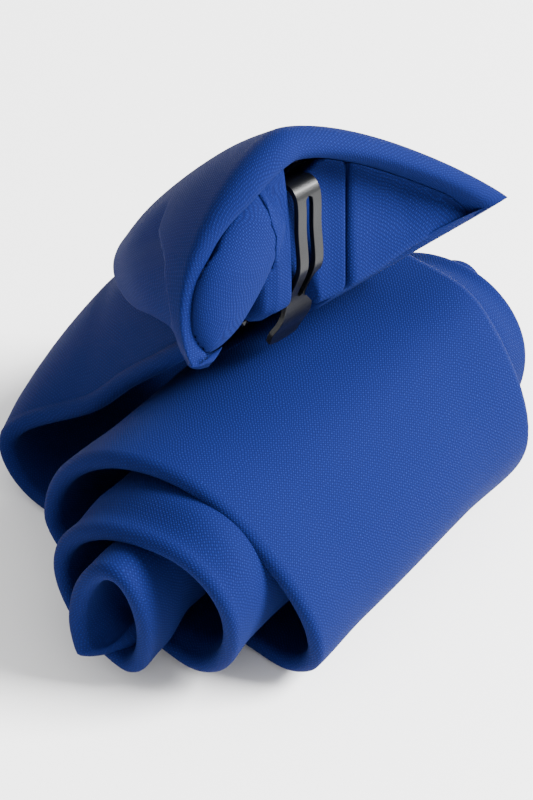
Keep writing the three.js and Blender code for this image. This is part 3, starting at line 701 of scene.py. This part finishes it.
def keep_inside(local):
    """Presses points of the knot's frame that lie beyond the wrap's inner face back onto it.

    A point goes back by its distance beyond the nearest point's plane. One that is nearest to
    the face's top row stands above the mouth, and stays.
    """
    flat = local.reshape(-1, 3).copy()
    at = nearest(flat, mouth_points)
    beyond = ((flat - mouth_points[at]) * mouth_out[at]).sum(1)
    out = (beyond > 0) & (at < len(mouth_points) - mouth_grid.shape[1])
    flat[out] -= (beyond[:, None] * mouth_out[at])[out]
    return flat.reshape(local.shape)


def edge_inset(d):
    """How far a rounded edge lies in at the distance d from its end: a quarter of a circle."""
    return FOLD_ROUND * (1 - np.sqrt(1 - (1 - np.clip(d / FOLD_ROUND, 0, 1))**2))


def fold_rings(rows, across=40, slope=36):
    """A fold's rings from left to right: its top slopes from the front down to the back.

    The top is k = mix(back, front, t) + crown (1 - (2t - 1)^2), less its rounded edges.
    """
    rows = np.array(rows, float)
    ease = (1 - np.cos(np.linspace(0, math.pi, across))) / 2
    w = (rows[0, 0] + (rows[-1, 0] - rows[0, 0]) * ease) * KNOT_WIDTH
    columns = [np.interp(w / KNOT_WIDTH, rows[:, 0], column) for column in rows[:, 1:].T]
    back_n, back_k, front_n, front_k, crown = columns
    inset = edge_inset(np.minimum(w - w[0], w[-1] - w))
    t = ((1 - np.cos(np.linspace(0, math.pi, slope))) / 2)[None]
    back = (back_n * KNOT_DEPTH + inset)[:, None]
    front = (front_n * KNOT_DEPTH - inset)[:, None]
    n = back + (front - back) * smooth(t)
    level = back_k[:, None] + (front_k - back_k)[:, None] * smooth(t)
    level = level + crown[:, None] * (1 - (2 * smooth(t) - 1)**2)
    top = level * KNOT_HEIGHT - inset[:, None] - edge_inset(np.minimum(n - back, front - n))
    down = np.linspace(0, 1, FOLD_WALL_ROWS + 1)[1:]
    floor_k = FOLD_BOTTOM * KNOT_HEIGHT
    front_wall = top[:, -1:] + (floor_k - top[:, -1:]) * down
    back_wall = (top[:, :1] + (floor_k - top[:, :1]) * down)[:, ::-1]
    k = np.hstack([top, front_wall, back_wall])
    front, back = np.broadcast_to(front, front_wall.shape), np.broadcast_to(back, back_wall.shape)
    n = np.hstack([n, front, back])
    return np.stack([np.broadcast_to(w[:, None], n.shape), n, k], -1)


def sheared(local, still, moved):
    """Moves a fold's points left towards the back, none at w = still and most at w = moved."""
    share = (local[..., 0] - still) / (moved - still)
    w = local[..., 0] - SEAM_SHIFT * share * np.clip(1 - local[..., 1] / SEAM_DEPTH, 0, 1)
    return np.stack([w, local[..., 1], local[..., 2]], -1)


def add_fold(name, local, replaced):
    """A closed fold from its rings in the knot's frame."""
    rings = in_knot(*np.moveaxis(local, -1, 0))
    u = lengths(rings, 1, True)
    v = lengths(rings, 0, False)
    made = add_tube(name, rings, tie_cloth, u, np.hstack([v, v[:, :1]]))
    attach(made, "root")
    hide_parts(replaced)


# The left wing's inner fold: padded cloth turned in from the wing's tip. It lies over the core,
# which it presses in, and is oval in section between its two edges.
TONGUE = [
    # left w, left n, left k, right w, right n, right k, thickness
    (-0.22, 0.86, 0.22, -0.15, 0.8, 0.2, 0.16),
    (-0.33, 0.72, 0.165, -0.115, 0.55, 0.145, 0.32),
    (-0.43, 0.49, 0.1, -0.185, 0.34, 0.065, 0.36),
    (-0.46, 0.27, 0.02, -0.3, 0.15, 0.0, 0.28),
    (-0.455, 0.12, -0.02, -0.4, 0.06, -0.02, 0.14),
]
TONGUE_ENDS = 8  # the power that closes its two ends
TONGUE_LEAST = 0.25
PRESS_GAP = 0.2
PRESS_REACH = 4
KNOT_SIZE = np.array([KNOT_WIDTH, KNOT_DEPTH, KNOT_HEIGHT])


def curve_through(points, t):
    """A centripetal Catmull-Rom curve through points, at the shares t, with its tangents."""
    points = np.asarray(points, float)
    p = np.vstack([2 * points[0] - points[1], points, 2 * points[-1] - points[-2]])
    at = np.asarray(t) * (len(points) - 1)
    i = np.minimum(at.astype(int), len(points) - 2)
    f = (at - i)[:, None]
    a, b, c, d = p[i], p[i + 1], p[i + 2], p[i + 3]
    steps = [np.sqrt(np.linalg.norm(step, axis=1))[:, None] for step in (b - a, c - b, d - c)]
    ab, bc, cd = steps
    leave = ((b - a) / ab - (c - a) / (ab + bc) + (c - b) / bc) * bc
    enter = ((c - b) / bc - (d - b) / (bc + cd) + (d - c) / cd) * bc
    e = 2 * b - 2 * c + leave + enter
    g = -3 * b + 3 * c - 2 * leave - enter
    place = b + f * (leave + f * (g + f * e))
    way = leave + f * (2 * g + 3 * f * e)
    return place, way / np.linalg.norm(way, axis=1)[:, None]


def tongue_rings(rows=90, around=48, grown=0.0):
    """The tongue's rings: ovals standing on the line between its two edges, grown if asked."""
    table = np.array(TONGUE)
    t = np.linspace(0, 1, rows)
    left, way = curve_through(table[:, :3] * KNOT_SIZE, t)
    right, _ = curve_through(table[:, 3:6] * KNOT_SIZE, t)
    thick = np.interp(t * (len(table) - 1), np.arange(len(table)), table[:, 6]) * KNOT_DEPTH
    closing = np.maximum(np.sqrt(np.clip(1 - (2 * t - 1)**TONGUE_ENDS, 0, 1)), TONGUE_LEAST)
    centre = (left + right) / 2 + (2 * t - 1)[:, None] * grown * way
    across = (right - left) / 2
    width = np.linalg.norm(across, axis=1)[:, None]
    across *= (width * closing[:, None] + grown) / width
    up = np.array([0, 0, 1]) - across * (across[:, 2] / (across**2).sum(1))[:, None]
    up /= np.linalg.norm(up, axis=1)[:, None]
    angle = np.linspace(0, 2 * math.pi, around, endpoint=False)
    rise = (thick / 2 * closing + grown)[:, None, None] * np.sin(angle)[:, None]
    return centre[:, None] + across[:, None] * np.cos(angle)[:, None] + up[:, None] * rise


# The tongue presses the core in: points of the core that lie inside the tongue's slightly grown
# form are moved onto it.
tongue = tongue_rings()
core = fold_rings(CORE)
over = tongue_rings(grown=PRESS_GAP)
over_points = over.reshape(-1, 3)
over_out = (over - over.mean(1, keepdims=True)).reshape(-1, 3)
flat_core = core.reshape(-1, 3)
at = nearest(flat_core, over_points)
side = ((flat_core - over_points[at]) * over_out[at]).sum(1)
close = np.linalg.norm(flat_core - over_points[at], axis=1) < PRESS_REACH
flat_core = np.where(((side < 0) & close)[:, None], over_points[at], flat_core)

# The panel and the lining meet along a seam that runs left towards the back.
panel = fold_rings(PANEL)
panel = sheared(panel, panel[0, 0, 0], panel[-1, 0, 0])
lining = fold_rings(LINING)
lining = sheared(lining, lining[-1, 0, 0], lining[0, 0, 0])
add_fold("core_fold_cloth", keep_inside(flat_core.reshape(core.shape)), "knot_core_fold")
add_fold("panel_fold_cloth", keep_inside(panel), "knot_panel_fold")
add_fold("lining_fold_cloth", keep_inside(lining), "knot_lining_fold")
add_fold("wing_fold_cloth", keep_inside(tongue), "knot_wing_fold")


# The clip: a strip of spring steel with a long slot, stamped and bent, and painted black. It
# rises inside the knot, crosses its mouth and ends in a paddle over a small toothed plate.
HOOK_AT = -0.037
HOOK_WIDTH = 5
HOOK_STEEL = 0.9
SLOT_WIDTH = 1.4
PADDLE_WIDTH = 6.6
PADDLE_ROUND = 0.93  # the share of the path from which the paddle's end is round
HOOK_PATH = [
    # n, k, wide: 0 is the hook's width and 1 the paddle's
    (0.8, -0.08, 0),
    (0.8, 0.09, 0),
    (0.78, 0.175, 0),
    (0.735, 0.222, 0),
    (0.66, 0.225, 0),
    (0.46, 0.148, 0),
    (0.27, 0.075, 0),
    (0.22, 0.035, 0),
    (0.15, -0.04, 0),
    (0.035, -0.115, 0.8),
    (-0.01, -0.185, 1),
    (-0.045, -0.23, 0.6),
    (-0.055, -0.25, -1.6),
]
SLOT_FROM = 0.34
SLOT_TO = 0.68
PLATE_WIDTH = 13
PLATE_HEIGHT = 8
PLATE_STEEL = 1
PLATE_AT = np.array([-0.083, 0.162, -0.215]) * KNOT_SIZE
TOOTH = 1.1
TOOTH_HEIGHT = 0.7
TEETH = 6
TEETH_INSET = 0.55  # the rows' place, as a share of the plate's half height
TOOTH_SEAT = 0.9  # how deep a tooth's base sits, as a share of the plate's half thickness
HOOK_BEVEL = 0.2
PLATE_BEVEL = 0.12
LEAST_WIDE = -0.6
PADDLE_POWER = 2.5
PADDLE_LAST = 0.995  # the paddle's round end stops just short of a point
MERGE = 1e-7  # metres

# Black enamel, sprayed and baked: half glossy under a thin clear skin. Its grit is finer than the
# render shows, and only softens the shine.
ENAMEL = "#050608"
GRIT = 0.028
GRIT_DEPTH = 0.2

enamel, enamel_tree, enamel_shader = new_material("black_enamelled_steel")
enamel_place = node(enamel_tree, "ShaderNodeTexCoord")
grit = node(enamel_tree, "ShaderNodeTexNoise", {
    "Vector": enamel_place.outputs["Object"], "Scale": 1 / (GRIT * MM), "Detail": 2.0,
})
grit_relief = node(enamel_tree, "ShaderNodeBump", {
    "Height": grit.outputs["Fac"], "Strength": 0.08, "Distance": GRIT_DEPTH * MM,
})
enamel_tree.links.new(grit_relief.outputs["Normal"], enamel_shader.inputs["Normal"])
enamel_shader.inputs["Base Color"].default_value = linear(ENAMEL)
enamel_shader.inputs["Metallic"].default_value = 0.0
enamel_shader.inputs["Roughness"].default_value = 0.35
enamel_shader.inputs["Coat Weight"].default_value = 0.1
enamel_shader.inputs["Specular IOR Level"].default_value = 0.2
enamel_shader.inputs["Coat Roughness"].default_value = 0.12


def finish_steel(piece, width):
    """Merges a steel piece's doubled points, turns its faces outwards and rounds its edges."""
    work = bmesh.new()
    work.from_mesh(piece.data)
    bmesh.ops.remove_doubles(work, verts=work.verts, dist=MERGE)
    bmesh.ops.recalc_face_normals(work, faces=work.faces)
    work.to_mesh(piece.data)
    work.free()
    bevel = piece.modifiers.new("rounded_edges", "BEVEL")
    bevel.width = width * MM
    bevel.segments = 3
    bevel.limit_method = "ANGLE"
    bevel.angle_limit = math.radians(40)
    bevel.harden_normals = True


def make_hook(steps=150):
    """The strip along its path, with a pair of columns on each side of its slot.

    Each row has four points above and four below. Where the slot is closed its two inner
    columns fall together and are merged.
    """
    table = np.array(HOOK_PATH)
    path = np.column_stack([np.full(len(table), HOOK_AT), table[:, 0], table[:, 1]]) * KNOT_SIZE
    t = np.linspace(0, 1, steps + 1)
    centre, way = curve_through(path, t)
    up = np.cross(way, [1, 0, 0])
    wide = np.interp(t * (len(table) - 1), np.arange(len(table)), table[:, 2])
    half = (HOOK_WIDTH + (PADDLE_WIDTH - HOOK_WIDTH) * np.clip(wide, LEAST_WIDE, 1)) / 2
    past = np.clip((t - PADDLE_ROUND) / (1.0 - PADDLE_ROUND), 0, PADDLE_LAST)
    half *= np.sqrt(1 - past**PADDLE_POWER)
    s = np.concatenate([[0], np.cumsum(np.linalg.norm(np.diff(centre, axis=0), axis=1))])
    ends = np.interp([SLOT_FROM, SLOT_TO], t, s)
    inside = np.clip(np.minimum(s - ends[0], ends[1] - s) / (SLOT_WIDTH / 2), 0, 1)
    slot = SLOT_WIDTH / 2 * np.sqrt(1 - (1 - inside)**2)
    w = np.stack([-half, -slot, slot, half], -1)
    points = centre[:, None] + w[..., None] * np.array([1, 0, 0])
    lift = HOOK_STEEL / 2 * up[:, None]
    local = np.stack([points + lift, points - lift], 1).reshape(-1, 3)
    faces = []
    for i in range(steps):
        top, low = 8 * i, 8 * i + 4
        for a, b in ((0, 1), (2, 3)):
            faces.append((top + a, top + b, top + 8 + b, top + 8 + a))
            faces.append((low + a, low + 8 + a, low + 8 + b, low + b))
        walls = [0, 3] + ([1, 2] if slot[i] + slot[i + 1] > 0 else [])
        for a in walls:
            faces.append((top + a, top + 8 + a, low + 8 + a, low + a))
    last = 8 * steps
    for a, b in ((0, 1), (2, 3)):
        faces.append((a, b, b + 4, a + 4))
        faces.append((last + a, last + a + 4, last + b + 4, last + b))
    hook = add_mesh("clip_hook_steel", in_knot(*local.T), faces, enamel)
    finish_steel(hook, HOOK_BEVEL)
    return hook


def make_plate():
    """A flat plate with a row of small pointed teeth pressed up along each side of its front."""
    half = np.array([PLATE_WIDTH, PLATE_STEEL, PLATE_HEIGHT]) / 2
    cube = np.array([[x, y, z] for z in (-1, 1) for x, y in ((-1, -1), (1, -1), (1, 1), (-1, 1))])
    points = [PLATE_AT + cube * half]
    faces = [(3, 2, 1, 0), (4, 5, 6, 7), (0, 1, 5, 4), (1, 2, 6, 5), (2, 3, 7, 6), (3, 0, 4, 7)]
    tip = [0, -2 * TOOTH_HEIGHT / TOOTH, 0]
    pyramid = np.array([[-1, 0, -1], [1, 0, -1], [1, 0, 1], [-1, 0, 1], tip])
    base = len(cube)
    for row in (-1, 1):
        for i in range(TEETH):
            w = (i - (TEETH - 1) / 2) * PLATE_WIDTH / (TEETH + 0.5)
            middle = PLATE_AT + [w, -half[1] * TOOTH_SEAT, row * half[2] * TEETH_INSET]
            points.append(middle + pyramid * TOOTH / 2)
            faces.append((base + 3, base + 2, base + 1, base))
            faces += [(base + j, base + (j + 1) % 4, base + 4) for j in range(4)]
            base += len(pyramid)
    plate = add_mesh("clip_plate_steel", in_knot(*np.vstack(points).T), faces, enamel)
    finish_steel(plate, PLATE_BEVEL)
    return plate


for steel, replaced in ((make_hook(), "clip_hook"), (make_plate(), "clip_plate")):
    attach(steel, "root")
    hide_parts(replaced)
